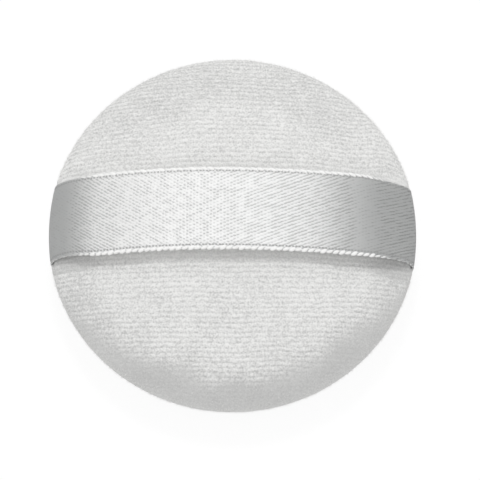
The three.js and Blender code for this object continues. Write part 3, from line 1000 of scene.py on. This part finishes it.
def satin():
    material, shader, uv = finish("satin", {"Roughness": 0.48, "IOR": 2.1, "Specular IOR Level": 1.0}, "UV")
    way = uv.node("ShaderNodeSeparateXYZ", None, {0: uv})
    along = way * (RIBBON_LENGTH / MM)
    across = Wire(way.tree, way.socket.node.outputs[1]) * (TAPE / MM)
    right = way.between(*RIGHT_SIDE)
    row = across * (2 * math.pi / FLOAT_ROW) + noise(uv, WOBBLE_SIZE, 2.0, CUT) * WOBBLE
    falling = (row + along * (2 * math.pi / FALLING_STEP)).sine()
    loose = (noise(uv, LOOSE_SIZE, 1.0, CUT) - 0.5) * (1 - right) * LOOSE
    rising = (row - along * (2 * math.pi / RISING_STEP) + loose).sine()
    patch = noise(uv, PATCH_SIZE, 1.0, (PATCH_DRAWN * RIBBON_LENGTH, TAPE, 1)).between(*PATCH_EDGE)
    plain = way.between(*PLAIN_BEGINS) * (1 - way.between(*PLAIN_ENDS))
    strength = stepped(way, WEAVE_LEFT, WEAVE_STEPS) - plain * PLAIN_LOSS
    falling = falling * (FALLING_LEFT - right * FALLING_LOSS)
    rising = rising * (right * RISING_GAIN + RISING_LEFT)
    # the floats and dips are painted light and dark as glints
    weave = (falling + rising) * strength * (patch * PATCH_GAIN + PATCH_LEAST)
    inset = across.math("MINIMUM", across, TAPE / MM - across + STITCH_REAR)
    seam = inset.between(*STITCH_BEGINS) * (1 - inset.between(*STITCH_ENDS))
    dots = (along * (2 * math.pi / STITCH_STEP)).sine().between(*STITCH_GAP)
    stitch = seam * (dots * STITCH_GAIN + STITCH_LEAST)
    # both ends are painted greyer as shade, where they turn away from the light
    left_end_shade = 1 - way.between(*LEFT_END_SHADE)
    ends = left_end_shade.math("MAXIMUM", left_end_shade, way.between(*RIGHT_END_SHADE))
    fleck = noise(uv, FLECK_SIZE, 1.0, CUT) - 0.5
    # the weave's painted glints, random flecks and the painted sheen
    bright = weave * CONTRAST + fleck + stepped(way, PAINTED_SHEEN_LEFT, PAINTED_SHEEN_STEPS)
    # the ends take the painted shade colours
    cloth = ends.mix(bright.mix(SATIN_LOW, SATIN_HIGH), bright.mix(END_SHADE_LOW, END_SHADE_HIGH))
    # the stitch line is painted dark as the shade in the open weave beside the cord
    link(stitch.mix(cloth, STITCH_SHADE), shader, "Base Color")
    link(bump(weave, 0.5, 0.05 * MM), shader, "Normal")
    lit_through = uv.node("ShaderNodeBsdfTranslucent", None, {"Color": LIT_THROUGH})
    front = Wire(uv.tree, shader.outputs[0])
    both = uv.node("ShaderNodeMixShader", None, {0: SEEN_THROUGH, 1: front, 2: lit_through})
    link(both, uv.tree.nodes["Material Output"], "Surface")
    return material


dress(satin(), ribbon)

# %% [markdown]
# The edge cord is the whitest thing on the puff. Its fibres show as a fine grain, and towards the ribbon's
# ends it is painted as grey as the satin there, as shade.

# %% Edge cord
CORD_LOW = (0.9, 0.9, 0.89, 1)
CORD_HIGH = (1.0, 1.0, 0.99, 1)
CORD_SHADE_LOW = (0.45, 0.46, 0.455, 1)
CORD_SHADE_HIGH = (0.9, 0.9, 0.895, 1)
CORD_FIBRE = 0.25 * MM
CORD_SHADED = (31 * MM, 39 * MM)  # from the middle, between which it is painted grey as shade


def edge_cord():
    material, shader, place = finish("edge_cord", {"Roughness": 0.5, "Specular IOR Level": 0.6})
    fibre = noise(place, CORD_FIBRE)
    x = place.node("ShaderNodeSeparateXYZ", None, {0: place})
    near_end = x.math("ABSOLUTE", x).between(*CORD_SHADED)
    # painted shade towards the ribbon's ends
    grey = fibre.mix(CORD_SHADE_LOW, CORD_SHADE_HIGH)
    link(near_end.mix(fibre.mix(CORD_LOW, CORD_HIGH), grey), shader, "Base Color")
    link(bump(fibre, 0.4, 0.05 * MM), shader, "Normal")
    return material


dress(edge_cord(), front_edge, rear_edge)

# %% [markdown]
# The sponge and the threads keep the shape of their solids, because the covers hide nearly all of them.
# They still get a finish of their own: open cells for the sponge, and twisted fibres for the thread.

# %% Sponge and thread
SPONGE_LOW = (0.55, 0.52, 0.44, 1)
SPONGE_HIGH = (0.88, 0.86, 0.78, 1)
SPONGE_CELL = 1.1 * MM
THREAD_LOW = (0.7, 0.7, 0.68, 1)
THREAD_HIGH = (0.9, 0.9, 0.88, 1)
THREAD_FIBRE = 0.2 * MM
THREAD_DRAWN = (0.3, 1, 1)


def sponge():
    material, shader, place = finish("sponge", {"Roughness": 0.9})
    cell = place.node("ShaderNodeTexVoronoi", None, {"Vector": place, "Scale": 1 / SPONGE_CELL})
    link(cell.mix(SPONGE_LOW, SPONGE_HIGH), shader, "Base Color")
    link(bump(cell, 0.8, 0.3 * MM), shader, "Normal")
    return material


def thread():
    material, shader, place = finish("thread", {"Roughness": 0.7})
    fibre = noise(place, THREAD_FIBRE, 3.0, THREAD_DRAWN)
    link(fibre.mix(THREAD_LOW, THREAD_HIGH), shader, "Base Color")
    link(bump(fibre, 0.5, 0.05 * MM), shader, "Normal")
    return material


dress(sponge(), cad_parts["foam_core"])
dress(thread(), *(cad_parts[name] for name in ("needle_thread", "bobbin_thread", "closing_thread")))

# %% [markdown]
# The photograph was taken on white. One soft light stands high behind the puff, and the room fills the
# shadows. The floor is white to the camera and to anything shiny, yet it still takes the puff's shadow.

# %% Light and floor
ROOM_LEVEL = 0.775
KEY_LEVEL = 0.24  # brightness that the key alone gives a white surface facing it
KEY_FROM = Vector((-0.02, 0.39, 0.92)).normalized()
KEY_DISTANCE = 1.0
KEY_SIZE = 0.2
FLOOR_SIDE = 6
FLOOR_GAP = 0.02 * MM
FLOOR_GLOW = 0.9
FLOOR_GREY = 0.12
FLOOR_WHITE = 0.92


def seen_directly(tree):
    """1 for rays from the camera, or from a mirror or glass, and 0 for the light that falls on the puff."""
    path = tree.nodes.new("ShaderNodeLightPath")
    seen = Wire(tree, path.outputs["Is Camera Ray"])
    for name in ("Is Glossy Ray", "Is Transmission Ray"):
        seen = seen.math("MAXIMUM", seen, Wire(tree, path.outputs[name]))
    return seen


def white_room():
    world = bpy.data.worlds.new("white_room")
    world.use_nodes = True
    bpy.context.scene.world = world
    background = world.node_tree.nodes["Background"]
    background.inputs["Color"].default_value = (1, 1, 1, 1)
    seen = seen_directly(world.node_tree)
    link(seen * (1 - ROOM_LEVEL) + ROOM_LEVEL, background, "Strength")


def white_floor():
    bpy.ops.object.select_all(action="DESELECT")
    bpy.ops.mesh.primitive_plane_add(size=FLOOR_SIDE, location=(0, 0, -FLOOR_GAP))
    floor = bpy.context.object
    floor.name = "floor"
    material = bpy.data.materials.new("floor")
    material.use_nodes = True
    tree = material.node_tree
    tree.nodes.clear()
    seen = seen_directly(tree)
    grey = seen.node("ShaderNodeBsdfDiffuse", None, {"Color": (FLOOR_GREY,) * 3 + (1,)})
    plain = seen.node("ShaderNodeBsdfDiffuse", None, {"Color": (FLOOR_WHITE,) * 3 + (1,)})
    glow = seen.node("ShaderNodeEmission", None, {"Strength": FLOOR_GLOW})
    white = seen.node("ShaderNodeAddShader", None, {0: grey, 1: glow})
    both = seen.node("ShaderNodeMixShader", None, {0: seen, 1: plain, 2: white})
    link(both, tree.nodes.new("ShaderNodeOutputMaterial"), "Surface")
    dress(material, floor)


def key_light():
    bpy.ops.object.select_all(action="DESELECT")
    bpy.ops.object.light_add(type="AREA", location=Vector((0, 0, SEAM_Z)) + KEY_FROM * KEY_DISTANCE)
    key = bpy.context.object
    key.name = "key"
    key.data.shape = "DISK"
    key.data.size = KEY_SIZE
    key.data.energy = KEY_LEVEL * math.pi**2 * KEY_DISTANCE**2
    key.rotation_euler = KEY_FROM.to_track_quat("Z", "Y").to_euler()
    print(f"key of {key.data.energy:.2f} W, {KEY_DISTANCE} m away")


white_room()
white_floor()
key_light()
bpy.context.scene.view_settings.view_transform = "Standard"

# %% [markdown]
# Last, the covers and their loose fibres are tied to the pad, the body that they move with, and the solids
# that the pieces stand for are hidden. The ribbon's ends stay in the seam while its crown lifts.

# %% Ride, and hide the solids
for cover, node in ((back, "back_cover"), (face, "face_cover")):
    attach(cover, "pad")
    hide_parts(node)

for piece in fuzz:
    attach(piece, "pad")

for piece in (ribbon, front_edge, rear_edge):
    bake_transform(piece)
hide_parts("ribbon_strap", "ribbon_tail_left", "ribbon_tail_right")
